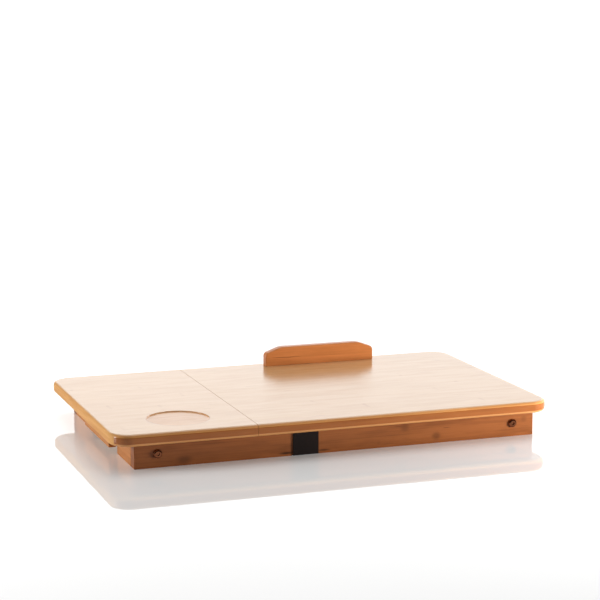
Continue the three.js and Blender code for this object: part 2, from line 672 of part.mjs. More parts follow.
const drawer = subAssembly();
const drawerInside = DRAWER_BOX.half - DRAWER_BOX.wall - JOINT;
const insideY = [DRAWER_Y - drawerInside, DRAWER_Y + drawerInside];
const frontY = [DRAWER_Y - DRAWER_FRONT.half, DRAWER_Y + DRAWER_FRONT.half];
addPiece(drawer, 'drawer_front', block([DRAWER_FRONT.outer, DRAWER_FRONT.inner], frontY,
  [DRAWER_FRONT.low, DRAWER_FRONT.high]), bambooFrame);
addPiece(drawer, 'drawer_side_front', drawerSide(-1), bambooFrame);
addPiece(drawer, 'drawer_side_rear', drawerSide(1), bambooFrame);
addPiece(drawer, 'drawer_back', block([DRAWER_BOX.back - DRAWER_BOX.wall, DRAWER_BOX.back], insideY,
  [DRAWER_FLOOR.high + JOINT, DRAWER_BOX.high]), bambooFrame);
addPiece(drawer, 'drawer_floor', block([DRAWER_BOX.front, DRAWER_BOX.back], insideY,
  [DRAWER_FLOOR.low, DRAWER_FLOOR.high]), bambooPly);
addPiece(base, 'drawer_runner_front', drawerRunner(-1), bambooFrame);
addPiece(base, 'drawer_runner_rear', drawerRunner(1), bambooFrame);
addPiece(base, 'drawer_stop', block([DRAWER_STOP.from, DRAWER_STOP.to],
  [DRAWER_Y - DRAWER_STOP.half, DRAWER_Y + DRAWER_STOP.half], [DRAWER_STOP.low, RAIL_HEIGHT]), bambooFrame);

export default tray;
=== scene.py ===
"""A folding tray table in bamboo, folded flat on a glossy white floor, built piece by piece."""
import json
import math

import bpy
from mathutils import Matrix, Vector


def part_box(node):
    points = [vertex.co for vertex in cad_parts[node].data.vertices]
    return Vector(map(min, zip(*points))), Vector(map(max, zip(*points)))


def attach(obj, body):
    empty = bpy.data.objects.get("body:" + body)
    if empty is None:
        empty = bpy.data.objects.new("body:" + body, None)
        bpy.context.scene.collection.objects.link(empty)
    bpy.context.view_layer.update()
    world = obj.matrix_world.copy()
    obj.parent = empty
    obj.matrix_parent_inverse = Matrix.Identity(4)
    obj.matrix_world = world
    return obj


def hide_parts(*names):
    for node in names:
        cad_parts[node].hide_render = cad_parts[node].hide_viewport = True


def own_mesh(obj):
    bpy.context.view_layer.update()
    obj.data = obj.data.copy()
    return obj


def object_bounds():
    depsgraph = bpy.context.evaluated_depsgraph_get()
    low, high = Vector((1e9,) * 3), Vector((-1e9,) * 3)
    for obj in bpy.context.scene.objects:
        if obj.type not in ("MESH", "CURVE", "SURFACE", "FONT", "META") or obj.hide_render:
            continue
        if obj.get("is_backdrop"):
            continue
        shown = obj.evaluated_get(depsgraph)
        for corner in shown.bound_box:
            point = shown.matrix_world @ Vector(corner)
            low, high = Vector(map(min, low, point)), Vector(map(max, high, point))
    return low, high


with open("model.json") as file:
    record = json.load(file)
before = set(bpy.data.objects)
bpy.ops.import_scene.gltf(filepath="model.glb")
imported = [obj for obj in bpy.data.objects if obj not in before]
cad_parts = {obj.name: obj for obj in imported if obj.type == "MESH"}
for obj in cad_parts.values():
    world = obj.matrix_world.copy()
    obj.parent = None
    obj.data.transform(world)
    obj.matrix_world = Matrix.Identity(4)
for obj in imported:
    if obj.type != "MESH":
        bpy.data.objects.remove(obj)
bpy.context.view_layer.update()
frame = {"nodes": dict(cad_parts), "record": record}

# Camera: a long lens, twenty degrees to the left of straight in front and looking down by ten degrees,
# so that the top is seen as a narrow slanted sheet with the ledge standing at its far edge.
CAMERA_PLACE = (-0.7925, -2.2522, 0.5752)
CAMERA_PITCH = 80.137
CAMERA_YAW = -19.563
LENS_MM = 115.07
SENSOR_MM = 36

bpy.ops.object.camera_add(
    location=CAMERA_PLACE,
    rotation=(math.radians(CAMERA_PITCH), 0, math.radians(CAMERA_YAW)),
)
camera = bpy.context.object
camera.data.lens = LENS_MM
camera.data.sensor_width = SENSOR_MM
bpy.context.scene.camera = camera
bpy.context.scene.view_settings.view_transform = "Standard"

# Light: a white studio. A bright wall stands behind the table and is mirrored in the lacquer and the
# floor, and the camera's side stays dim so that the front edges fall in shade. Soft boxes hang overhead
# and to the left, and a small one near the floor lights the front from its right end.
WHITE = (1, 1, 1, 1)
SEEN_WHITE = 1.2
BACKDROP = 1.9
DIM_SIDE = 0.07
CEILING_SHARE = 0.25
LEFT_SHARE = 0.15
OVERHEAD_WATTS = 14
LEFT_WATTS = 16
FILL_WATTS = 8.7


def add_node(tree, kind, links=(), **settings):
    """One shader node with its settings and its inputs, each linked to a socket or set to a value."""
    node = tree.nodes.new(kind)
    for key, value in settings.items():
        setattr(node, key, value)
    for socket, value in dict(links).items():
        if isinstance(value, bpy.types.NodeSocket):
            tree.links.new(value, node.inputs[socket])
        else:
            node.inputs[socket].default_value = value
    return node


world = bpy.data.worlds.new("studio")
bpy.context.scene.world = world
world.use_nodes = True
sky = world.node_tree
sky.nodes.clear()
direction = add_node(sky, "ShaderNodeTexCoord").outputs["Generated"]
towards = add_node(sky, "ShaderNodeSeparateXYZ", {0: direction})

# The studio's glow fades with the direction: from the dim side near the camera to the bright wall, from
# the wall up to the ceiling, and from the left to the middle.
glow = 1.0
for axis, start, end, low, high in (
    ("Y", -0.1, 0.45, DIM_SIDE, BACKDROP),
    ("Z", 0.3, 0.65, 1.0, CEILING_SHARE),
    ("X", -0.2, 0.12, LEFT_SHARE, 1.0),
):
    share = add_node(sky, "ShaderNodeMapRange", {
        "Value": towards.outputs[axis], "From Min": start, "From Max": end, "To Min": low, "To Max": high,
    }, interpolation_type="SMOOTHSTEP").outputs[0]
    glow = add_node(sky, "ShaderNodeMath", {0: glow, 1: share}, operation="MULTIPLY").outputs[0]
room = add_node(sky, "ShaderNodeBackground", {"Color": WHITE, "Strength": glow})
white = add_node(sky, "ShaderNodeBackground", {"Color": WHITE, "Strength": SEEN_WHITE})
seen = add_node(sky, "ShaderNodeLightPath")
studio = add_node(sky, "ShaderNodeMixShader", {
    0: seen.outputs["Is Camera Ray"], 1: room.outputs[0], 2: white.outputs[0],
})
add_node(sky, "ShaderNodeOutputWorld", {"Surface": studio.outputs[0]})


def soft_box(name, place, aim, width, height, power):
    """A rectangular studio light at place, turned towards aim."""
    bpy.ops.object.light_add(type="AREA", location=place)
    light = bpy.context.object
    light.name = name
    light.data.shape = "RECTANGLE"
    light.data.size = width
    light.data.size_y = height
    light.data.energy = power
    light.rotation_euler = (Vector(aim) - Vector(place)).to_track_quat("-Z", "Y").to_euler()
    return light


soft_box("overhead_soft_box", (0, 0.3, 1.6), (0, 0, 0), 1.8, 1.4, OVERHEAD_WATTS)
soft_box("left_soft_box", (-1.6, 0.2, 0.35), (-0.2, 0, 0), 0.8, 0.6, LEFT_WATTS)
fill = soft_box("right_front_fill", (0.7, -0.5, 0.07), (0.15, -0.15, 0.05), 0.3, 0.1, FILL_WATTS)
fill.visible_glossy = False

# Floor: white acrylic sheet lit faintly from below, as on a light table, which shows the table upside
# down in it. It is in two halves, left and right.
FLOOR_REACH = 9.0
FLOOR_DEPTH = 0.5
FLOOR_GLOW = 0.12
HAZE_PATCH_MM = 300


def hex_colour(text):
    """The linear colour of an sRGB hex value."""
    channels = [int(text[i:i + 2], 16) / 255 for i in (1, 3, 5)]
    return (*[c / 12.92 if c <= 0.04045 else ((c + 0.055) / 1.055) ** 2.4 for c in channels], 1)


def new_material(name):
    """An empty material with an output node."""
    material = bpy.data.materials.new(name)
    material.use_nodes = True
    material.node_tree.nodes.clear()
    return material, material.node_tree


# Cast acrylic, flame polished: a clean mirror over milky white, a touch hazier in patches 300 mm across.
acrylic, tree = new_material("white_acrylic_polished")
place = add_node(tree, "ShaderNodeTexCoord").outputs["Object"]
patches = add_node(tree, "ShaderNodeTexNoise", {
    "Vector": place, "Scale": 1000 / HAZE_PATCH_MM, "Detail": 2.0,
})
haze = add_node(tree, "ShaderNodeMapRange", {
    "Value": patches.outputs["Fac"], "To Min": 0.01, "To Max": 0.03,
})
surface = add_node(tree, "ShaderNodeBsdfPrincipled", {
    "Base Color": hex_colour("#f0f0ef"), "Roughness": haze.outputs[0], "IOR": 1.55,
    "Emission Color": WHITE, "Emission Strength": FLOOR_GLOW,
})
add_node(tree, "ShaderNodeOutputMaterial", {"Surface": surface.outputs[0]})


def block(name, low, high):
    """A box between two corners, with its place in its mesh."""
    low, high = Vector(low), Vector(high)
    bpy.ops.object.select_all(action="DESELECT")
    bpy.ops.mesh.primitive_cube_add(size=1, location=(low + high) / 2)
    piece = bpy.context.object
    piece.name = name
    piece.scale = high - low
    bpy.ops.object.transform_apply(location=True, rotation=False, scale=True)
    return piece


for side, joint, x_low, x_high in (
    ("left", "left_leg_fold", -FLOOR_REACH, 0),
    ("right", "right_leg_fold", 0, FLOOR_REACH),
):
    floor = block(f"floor_{side}", (x_low, -FLOOR_REACH, -FLOOR_DEPTH), (x_high, FLOOR_REACH, 0))
    floor.data.materials.append(acrylic)
    floor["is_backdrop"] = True
    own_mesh(floor)

# Table top: one board of pressed bamboo, strips 19 mm wide in layers 7 mm thick, lacquered, with
# round corners and both edges rounded over, sawn in two. The left panel is glued to the rails, and the
# right one is hinged.
TOP_CORNER = 0.025
TOP_ROUND = 0.0045
CORNER_STEPS = 14
ROUND_STEPS = 6
ARRIS = 0.0003
SAW_CLOSE = 0.00012
RECESS_PLACE = (-0.183, -0.102)
RECESS_RADIUS = 0.0375
RECESS_DEPTH = 0.0012
RECESS_ROUND = 0.001
# How wide the painted shade round the recess's rim is.
RIM_SHADE_WIDTH = 0.0022
RIM_SKIN = 0.0001
DOWEL_BORE = 0.0042
SCREW_BORE = 0.0015
BORE_END = 0.0005
SPARE = 0.002
SMOOTH_BELOW = 35
END_NAMES = ("left", "right")
top_low = Vector(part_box("fixed_panel")[0])
top_high = Vector(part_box("tilt_panel")[1])


def select_edges(piece, wanted):
    """Opens the piece in edit mode with those edges selected whose two ends satisfy wanted(a, b)."""
    bpy.ops.object.select_all(action="DESELECT")
    piece.select_set(True)
    bpy.context.view_layer.objects.active = piece
    bpy.ops.object.mode_set(mode="EDIT")
    bpy.ops.mesh.select_mode(type="EDGE")
    bpy.ops.mesh.select_all(action="DESELECT")
    bpy.ops.object.mode_set(mode="OBJECT")
    points = piece.data.vertices
    for edge in piece.data.edges:
        edge.select = wanted(points[edge.vertices[0]].co, points[edge.vertices[1]].co)
    bpy.ops.object.mode_set(mode="EDIT")


def round_edges(piece, radius, segments, wanted=lambda a, b: True):
    """Rounds the wanted edges to a radius."""
    select_edges(piece, wanted)
    bpy.ops.mesh.bevel(offset=radius, segments=segments, affect="EDGES")
    bpy.ops.object.mode_set(mode="OBJECT")


def cut_away(piece, place, normal):
    """Saws the piece along a plane, drops what lies beyond it and closes the cut."""
    select_edges(piece, lambda a, b: True)
    bpy.ops.mesh.bisect(plane_co=place, plane_no=normal, use_fill=True, clear_outer=True)
    bpy.ops.object.mode_set(mode="OBJECT")


def same(a, b, tolerance=1e-5):
    """Whether two measures agree."""
    return abs(a - b) < tolerance


def combine(piece, tool, operation="DIFFERENCE"):
    """Cuts the tool out of the piece, or joins it on, and removes the tool."""
    bpy.ops.object.select_all(action="DESELECT")
    piece.select_set(True)
    bpy.context.view_layer.objects.active = piece
    cutter = piece.modifiers.new("cut", "BOOLEAN")
    cutter.operation = operation
    cutter.solver = "EXACT"
    cutter.object = tool
    bpy.ops.object.modifier_apply(modifier=cutter.name)
    bpy.data.objects.remove(tool, do_unlink=True)
    return piece


def rod(name, radius, start, end, sides=48):
    """A round bar from start to end, with its place in its mesh."""
    start, end = Vector(start), Vector(end)
    bpy.ops.object.select_all(action="DESELECT")
    turn = (end - start).to_track_quat("Z", "Y").to_euler()
    bpy.ops.mesh.primitive_cylinder_add(
        vertices=sides, radius=radius, depth=(end - start).length,
        location=(start + end) / 2, rotation=turn,
    )
    piece = bpy.context.object
    piece.name = name
    bpy.ops.object.transform_apply(location=True, rotation=True, scale=True)
    return piece


def even_shading(piece):
    """Smooths round stretches and keeps flat faces flat."""
    bpy.ops.object.select_all(action="DESELECT")
    piece.select_set(True)
    bpy.context.view_layer.objects.active = piece
    bpy.ops.object.shade_smooth_by_angle(angle=math.radians(SMOOTH_BELOW))
    weighted = piece.modifiers.new("weighted", "WEIGHTED_NORMAL")
    weighted.keep_sharp = True
    bpy.ops.object.modifier_apply(modifier=weighted.name)


record = frame["record"]
body_of_node = {node: body for body, nodes in record["behaviour"]["bodies"].items() for node in nodes}


def fit(piece, node, material):
    """The finished piece takes a CAD node's place, rides on its body and takes the finish it is given."""
    even_shading(piece)
    piece.data.materials.clear()
    piece.data.materials.append(material)
    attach(piece, body_of_node[node])
    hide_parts(node)


# Pressed bamboo: strips glued together, each cut from another stalk and so of its own tone. Long fibres,
# open vessels, soft clouds, short scars and the thin rings of knots run along or across them, under a
# clear lacquer that mirrors more the flatter it is rubbed. Of each pattern, the changes in a metre along
# and across the strips and its detail, and then the stretch of its noise that shows and the two strengths
# which that stretch is turned into. Fibres are 1.6 mm apart, clouds 22 mm and scars 3 mm. Vessels are
# really 0.1 mm wide, and are drawn 0.4 mm wide so that they show.
PATTERNS = {
    "fibre": (9, 620, 3, 0.35, 0.75, 0, 0.35),
    "vessel": (30, 2600, 2, 0.55, 0.8, 0, 0.3),
    "cloud": (11, 45, 3, 0.35, 0.7, -0.1, 0.4),
    "scar": (22, 330, 1, 0.73, 0.8, 0, 0.5),
}
STRIP_TONE = 0.1
STRIP_SHIFT = 0.9
KNOT_PITCH = 0.23
KNOT_SWAY = 0.012
KNOT_CORE = 0.0006
KNOT_EDGE = 0.0034
KNOT_TONE = 0.22
KNOT_RELIEF = 0.4
MARK_CORE = 0.5
MARK_EDGE = 1.4
MARK_RAGGED = 0.7
# How dark the painted shade round the recess's rim is.
RIM_PAINTED_SHADE = 0.36
GRAIN_DEPTH = 0.0002
POLISH_CHANGE = 0.08


def bamboo(name, along, strip_mm, layer_mm, pale, deep, dark, roughness, specular, marks=(), rim_shade=None):
    """Lacquered bamboo with its strips along one axis, and two tones and a dark one for its patterns.

    Each of the marks is a dark place in a rail's face: its x and z, half its length, half its height
    and its strength. The last argument gives a round line of painted shade along a recess's rim: its x,
    its y and its radius.
    """
    material, tree = new_material(name)
    place = add_node(tree, "ShaderNodeTexCoord").outputs["Object"]
    turned = add_node(tree, "ShaderNodeMapping", {
        "Vector": place, "Rotation": (0, 0, 0 if along == "X" else math.radians(-90)),
    }).outputs[0]
    cells = add_node(tree, "ShaderNodeVectorMath", {
        0: turned, 1: (0, 1000 / strip_mm, 1000 / layer_mm), 2: (0.5, 0.5, 0.5),
    }, operation="MULTIPLY_ADD").outputs[0]
    strip = add_node(tree, "ShaderNodeVectorMath", {0: cells}, operation="FLOOR").outputs[0]
    own = add_node(tree, "ShaderNodeTexWhiteNoise", {"Vector": strip})
    shift = add_node(tree, "ShaderNodeVectorMath", {
        0: own.outputs["Color"], "Scale": STRIP_SHIFT,
    }, operation="SCALE").outputs[0]
    slid = add_node(tree, "ShaderNodeVectorMath", {0: turned, 1: shift}, operation="ADD").outputs[0]

    noise, tone = {}, {}
    for pattern, (lengthwise, across, detail, start, end, low, high) in PATTERNS.items():
        drawn = add_node(tree, "ShaderNodeMapping", {
            "Vector": slid, "Scale": (lengthwise, across, across),
        }).outputs[0]
        noise[pattern] = add_node(tree, "ShaderNodeTexNoise", {
            "Vector": drawn, "Scale": 1.0, "Detail": detail, "Roughness": 0.6,
        }).outputs["Fac"]
        tone[pattern] = add_node(tree, "ShaderNodeMapRange", {
            "Value": noise[pattern], "From Min": start, "From Max": end, "To Min": low, "To Max": high,
        }, interpolation_type="SMOOTHSTEP").outputs[0]

    length = add_node(tree, "ShaderNodeSeparateXYZ", {0: slid}).outputs["X"]
    bent = add_node(tree, "ShaderNodeMath", {
        0: noise["cloud"], 1: KNOT_SWAY, 2: length,
    }, operation="MULTIPLY_ADD").outputs[0]
    from_knot = add_node(tree, "ShaderNodeMath", {0: bent, 1: KNOT_PITCH}, operation="PINGPONG").outputs[0]
    ring = add_node(tree, "ShaderNodeMapRange", {
        "Value": from_knot, "From Min": KNOT_CORE, "From Max": KNOT_EDGE, "To Min": 1, "To Max": 0,
    }, interpolation_type="SMOOTHSTEP").outputs[0]
    knot_tone = add_node(tree, "ShaderNodeMapRange", {
        "Value": noise["cloud"], "From Min": 0.4, "From Max": 0.65, "To Min": 0, "To Max": KNOT_TONE,
    }, interpolation_type="SMOOTHSTEP").outputs[0]
    faults = add_node(tree, "ShaderNodeMath", {0: ring, 1: knot_tone}, operation="MULTIPLY").outputs[0]
    for pattern in ("vessel", "scar"):
        faults = add_node(tree, "ShaderNodeMath", {
            0: faults, 1: tone[pattern],
        }, operation="MAXIMUM").outputs[0]

    share = add_node(tree, "ShaderNodeMath", {
        0: own.outputs["Value"], 1: STRIP_TONE, 2: tone["fibre"],
    }, operation="MULTIPLY_ADD").outputs[0]
    share = add_node(tree, "ShaderNodeMath", {
        0: share, 1: tone["cloud"],
    }, operation="ADD", use_clamp=True).outputs[0]

    for x, z, half_length, half_height, strength in marks:
        from_mark = add_node(tree, "ShaderNodeMapping", {
            "Vector": place,
            "Location": (-x / half_length, 0, -z / half_height),
            "Scale": (1 / half_length, 0, 1 / half_height),
        }).outputs[0]
        away = add_node(tree, "ShaderNodeVectorMath", {0: from_mark}, operation="LENGTH").outputs["Value"]
        ragged = add_node(tree, "ShaderNodeMath", {
            0: noise["fibre"], 1: MARK_RAGGED, 2: away,
        }, operation="MULTIPLY_ADD").outputs[0]
        mark = add_node(tree, "ShaderNodeMapRange", {
            "Value": ragged, "From Min": MARK_CORE, "From Max": MARK_EDGE, "To Min": strength, "To Max": 0,
        }, interpolation_type="SMOOTHSTEP").outputs[0]
        faults = add_node(tree, "ShaderNodeMath", {0: faults, 1: mark}, operation="MAXIMUM").outputs[0]

    # A thin dark line round the recess's rim: painted shade.
    if rim_shade:
        centre_x, centre_y, radius = rim_shade
        flat_place = add_node(tree, "ShaderNodeMapping", {
            "Vector": place, "Location": (-centre_x, -centre_y, 0), "Scale": (1, 1, 0),
        }).outputs[0]
        away = add_node(tree, "ShaderNodeVectorMath", {0: flat_place}, operation="LENGTH").outputs["Value"]
        past = add_node(tree, "ShaderNodeMath", {0: away, 1: radius}, operation="SUBTRACT").outputs[0]
        from_rim = add_node(tree, "ShaderNodeMath", {0: past}, operation="ABSOLUTE").outputs[0]
        rim_shade_line = add_node(tree, "ShaderNodeMapRange", {
            "Value": from_rim, "From Min": RIM_SHADE_WIDTH / 4, "From Max": RIM_SHADE_WIDTH,
            "To Min": RIM_PAINTED_SHADE, "To Max": 0,
        }, interpolation_type="SMOOTHSTEP").outputs[0]
        faults = add_node(tree, "ShaderNodeMath", {0: faults, 1: rim_shade_line}, operation="MAXIMUM").outputs[0]

    wood = add_node(tree, "ShaderNodeMix", {
        "Factor": share, "A": hex_colour(pale), "B": hex_colour(deep),
    }, data_type="RGBA").outputs["Result"]
    marked = add_node(tree, "ShaderNodeMix", {
        "Factor": faults, "A": wood, "B": hex_colour(dark),
    }, data_type="RGBA").outputs["Result"]
    polish = add_node(tree, "ShaderNodeMapRange", {
        "Value": noise["fibre"], "From Min": 0.3, "From Max": 0.8,
        "To Min": roughness, "To Max": roughness + POLISH_CHANGE,
    }, interpolation_type="SMOOTHSTEP").outputs[0]
    relief = add_node(tree, "ShaderNodeMath", {
        0: ring, 1: KNOT_RELIEF, 2: noise["fibre"],
    }, operation="MULTIPLY_ADD").outputs[0]
    bump = add_node(tree, "ShaderNodeBump", {"Height": relief, "Strength": 0.1, "Distance": GRAIN_DEPTH})
    shader = add_node(tree, "ShaderNodeBsdfPrincipled", {
        "Base Color": marked, "Roughness": polish, "IOR": 1.5, "Specular IOR Level": specular,
        "Normal": bump.outputs[0],
    })
    add_node(tree, "ShaderNodeOutputMaterial", {"Surface": shader.outputs[0]})
    return material


# The top's faces: pale bamboo in 19 mm strips under satin lacquer, which turns white where it mirrors
# the wall. A dark line of painted shade runs round the rim of the recess.
top_bamboo = bamboo(
    "bamboo_top_lacquered", "X", 19, 60, "#dcb080", "#cc9962", "#a0683a", 0.17, 0.6,
    rim_shade=(*RECESS_PLACE, RECESS_RADIUS),
)
# Its long edges: bamboo in 7 mm layers cut along, a darker caramel that is painted shade, deep orange.
shaded_edge_bamboo = bamboo("bamboo_edge_painted_shade", "X", 19, 7, "#a4602c", "#8c4b20", "#6c3612", 0.16, 0.4)
# Their rounds: a lighter honey that is a painted highlight, a light line above and below the edge.
lit_round_bamboo = bamboo("bamboo_round_painted_highlight", "X", 19, 7, "#d29358", "#ba7a42", "#8a5a30", 0.2, 0.4)
# Its ends: end grain, which drinks the lacquer and stays matt and golden.
end_bamboo = bamboo("bamboo_end_grain_lacquered", "Y", 7, 7, "#d6a266", "#bd834a", "#8a5a30", 0.45, 0.05)
# The recess: milled and sanded, a little rosier and livelier in figure than the top round it.
recess_bamboo = bamboo("bamboo_recess_sanded", "X", 19, 60, "#e2ae7a", "#c58346", "#a0683a", 0.2, 0.5)


def panel(node, saw_x, far_side):
    """One of the two panels: the whole board, rounded, then sawn at saw_x and dropped on the far side."""
    piece = block(node.replace("_panel", "_top_panel"), top_low, top_high)
    round_edges(piece, TOP_CORNER, CORNER_STEPS, lambda a, b: same(a.x, b.x) and same(a.y, b.y))
    round_edges(piece, TOP_ROUND, ROUND_STEPS, lambda a, b: same(a.z, b.z))
    cut_away(piece, (saw_x, 0, 0), (far_side, 0, 0))
    round_edges(piece, ARRIS / 2, 2, lambda a, b: same(a.x, saw_x) and same(b.x, saw_x))
    return piece


# A face's finish goes by how far its normal leans: up or down, to the ends, or part of the way. The
# long edges get painted shade and the rounds a painted highlight.
FLAT = 0.9
ROUNDED = 0.35
END_TURN = 1.5
FACES, EDGES, ENDS, ROUNDS, RECESS = range(5)


def fit_panel(piece, node):
    """Fits a panel and gives its flat faces, long edges, rounds and ends each their own finish.

    The long edges are painted shade and the rounds a painted highlight.
    """
    fit(piece, node, top_bamboo)
    for finish in (shaded_edge_bamboo, end_bamboo, lit_round_bamboo):
        piece.data.materials.append(finish)
    for face in piece.data.polygons:
        if abs(face.normal.z) > FLAT:
            face.material_index = FACES
        elif abs(face.normal.x) > abs(face.normal.y) * END_TURN:
            face.material_index = ENDS
        elif abs(face.normal.z) > ROUNDED:
            face.material_index = ROUNDS
        else:
            face.material_index = EDGES


def drill(piece, radius, start, end):
    """Bores a round hole from start to end."""
    combine(piece, rod("drill", radius, start, end))


def middle(node):
    """The centre of a CAD node's box."""
    low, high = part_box(node)
    return (Vector(low) + Vector(high)) / 2


def from_recess(point):
    """How far a point is from the recess's axis."""
    return math.hypot(point.x - RECESS_PLACE[0], point.y - RECESS_PLACE[1])


fixed_top = panel("fixed_panel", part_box("fixed_panel")[1][0] + SAW_CLOSE, 1)
recess_floor = top_high.z - RECESS_DEPTH
recess_foot = (*RECESS_PLACE, recess_floor)
recess_mouth = (*RECESS_PLACE, top_high.z + SPARE)
cutter = rod("recess", RECESS_RADIUS, recess_foot, recess_mouth, sides=128)
round_edges(cutter, RECESS_ROUND, 5, lambda a, b: same(a.z, recess_floor) and same(b.z, recess_floor))
combine(fixed_top, cutter)
round_edges(fixed_top, ARRIS, 2, lambda a, b: (
    same(a.z, top_high.z) and same(b.z, top_high.z)
    and same(from_recess(a), RECESS_RADIUS) and same(from_recess(b), RECESS_RADIUS)
))
fit_panel(fixed_top, "fixed_panel")
fixed_top.data.materials.append(recess_bamboo)
for face in fixed_top.data.polygons:
    sunk = recess_floor - RIM_SKIN < face.center.z < top_high.z - RIM_SKIN
    if sunk and from_recess(face.center) < RECESS_RADIUS:
        face.material_index = RECESS

tilt_top = panel("tilt_panel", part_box("tilt_panel")[0][0] - SAW_CLOSE, -1)
for end in END_NAMES:
    dowel = middle(f"ledge_dowel_{end}")
    dowel_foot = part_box(f"ledge_dowel_{end}")[0][2] - BORE_END
    drill(tilt_top, DOWEL_BORE, (dowel.x, dowel.y, dowel_foot), (dowel.x, dowel.y, top_high.z + SPARE))
    for number in (1, 2):
        screw = middle(f"hinge_{end}_panel_screw_{number}")
        screw_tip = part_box(f"hinge_{end}_panel_screw_{number}")[1][2] + BORE_END
        drill(tilt_top, SCREW_BORE, (screw.x, screw.y, top_low.z - SPARE), (screw.x, screw.y, screw_tip))
fit_panel(tilt_top, "tilt_panel")

# Rails: two long bars of carbonised bamboo, planed and lacquered, with eased arrises. Each is bored
# for two leg bolts, the rear one for the hinge screws, and the front one is relieved under the strap.
RAIL_ARRIS = 0.0007
BOLT_BORE = 0.0033
RELIEF_SPARE = 0.001
RELIEF_ABOVE = 0.0018
RELIEF_BELOW = 0.0015

# Dark places in the rails' faces: x, z, half the length, half the height and the strength of each.
# The first two are dark streaks low on the front face, one each side of the strap; the rest are
# natural dark places in the wood.
RAIL_MARKS = (
    (-0.064, 0.004, 0.014, 0.0021, 0.9),
    (-0.017, 0.004, 0.011, 0.0018, 0.7),
    (-0.191, 0.007, 0.014, 0.007, 0.45),
    (0.130, 0.009, 0.008, 0.007, 0.45),
    (0.088, 0.024, 0.008, 0.008, 0.35),
    (0.248, 0.021, 0.006, 0.006, 0.25),
)
# Carbonised bamboo, in 24 mm strips: steamed until it turned brown, and only softly shiny.
rail_bamboo = bamboo(
    "bamboo_rail_lacquered", "X", 24, 9, "#96582e", "#6a3a1c", "#32180a", 0.36, 0.3, marks=RAIL_MARKS,
)
# The cross boards and small bars: the same with the strips across the table, lighter and more matt.
board_bamboo = bamboo("bamboo_board_lacquered", "Y", 24, 9, "#c08048", "#9a5c2c", "#55301a", 0.42, 0.2)


def eased_block(node, arris, segments=3):
    """A block of a CAD node's own size with its arrises eased."""
    piece = block(f"{node}_wood", *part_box(node))
    round_edges(piece, arris, segments)
    return piece


for side in ("front", "rear"):
    rail = eased_block(f"{side}_rail", RAIL_ARRIS)
    low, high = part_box(f"{side}_rail")
    for end in END_NAMES:
        bolt = middle(f"pivot_bolt_{end}_{side}")
        drill(rail, BOLT_BORE, (bolt.x, low[1] - SPARE, bolt.z), (bolt.x, high[1] + SPARE, bolt.z))
        if side == "rear":
            for number in (1, 2):
                screw = middle(f"hinge_{end}_rail_screw_{number}")
                screw_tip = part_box(f"hinge_{end}_rail_screw_{number}")[0][1] - BORE_END
                drill(rail, SCREW_BORE, (screw.x, screw_tip, screw.z), (screw.x, high[1] + SPARE, screw.z))
    if side == "front":
        strap_low, strap_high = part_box("strap")
        left, right = strap_low[0] - RELIEF_SPARE, strap_high[0] + RELIEF_SPARE
        for below, above in ((-SPARE, RELIEF_BELOW), (high[2] - RELIEF_ABOVE, high[2] + SPARE)):
            relief = block("relief", (left, low[1] - SPARE, below), (right, high[1] + SPARE, above))
            combine(rail, relief)
    fit(rail, f"{side}_rail", rail_bamboo)

# Cross boards: the two ends of the frame and the batten under the sawn edge, glued between the rails.
# Cut from the same pressed bamboo, with the grain across the table. The left end is open for the drawer.
for node in ("left_board_front", "left_board_rear", "right_board", "panel_batten", "drawer_stop"):
    fit(eased_block(node, RAIL_ARRIS), node, board_bamboo)

# Centre rail and rack strip: bamboo bars with four sawn notches each, where the prop's foot stands, and
# the drawer's two L-section runners, rebated from one bar each.
SHAPED_ARRIS = 0.0004


def eased_copy(node, arris):
    """A copy of a CAD node with its triangles merged into whole faces and its arrises eased."""
    bpy.ops.object.select_all(action="DESELECT")
    source = frame["nodes"][node]
    source.select_set(True)
    bpy.context.view_layer.objects.active = source
    bpy.ops.object.duplicate()
    piece = bpy.context.object
    piece.name = f"{node}_wood"
    bpy.ops.object.mode_set(mode="EDIT")
    bpy.ops.mesh.select_all(action="SELECT")
    bpy.ops.mesh.remove_doubles(threshold=1e-6)
    bpy.ops.mesh.dissolve_limited(angle_limit=math.radians(1))
    bpy.ops.object.mode_set(mode="OBJECT")
    easing = piece.modifiers.new("arrises", "BEVEL")
    easing.width = arris
    easing.segments = 2
    easing.limit_method = "ANGLE"
    easing.angle_limit = math.radians(30)
    bpy.ops.object.modifier_apply(modifier=easing.name)
    return piece


for node in ("centre_rail", "rack_strip"):
    fit(eased_copy(node, SHAPED_ARRIS), node, board_bamboo)
for node in ("drawer_runner_front", "drawer_runner_rear"):
    fit(eased_copy(node, SHAPED_ARRIS), node, rail_bamboo)

# Leg frames: two flat bars of the rails' bamboo and a lighter crossbar each. A bar's pivot end is cut to
# a half round about its bolt, its foot has small rounds, and the crossbar is fixed between the two bars.
PIVOT_ROUND = 0.01095
FOOT_ROUND = 0.004
LEG_ARRIS = 0.0008

for end in END_NAMES:
    for side in ("front", "rear"):
        node = f"{end}_leg_{side}"
        low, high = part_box(node)
        bolt = middle(f"pivot_bolt_{end}_{side}")
        pivot_end, foot_end = (low[0], high[0]) if end == "left" else (high[0], low[0])
        bar = block(f"{node}_wood", low, high)
        for place, radius, steps in ((pivot_end, PIVOT_ROUND, 20), (foot_end, FOOT_ROUND, 6)):
            round_edges(bar, radius, steps, lambda a, b: (
                same(a.x, place) and same(b.x, place) and same(a.z, b.z)
            ))
        round_edges(bar, LEG_ARRIS, 2, lambda a, b: same(a.y, b.y))
        drill(bar, BOLT_BORE, (bolt.x, low[1] - SPARE, bolt.z), (bolt.x, high[1] + SPARE, bolt.z))
        fit(bar, node, rail_bamboo)
    node = f"{end}_leg_crossbar"
    fit(eased_block(node, LEG_ARRIS), node, board_bamboo)

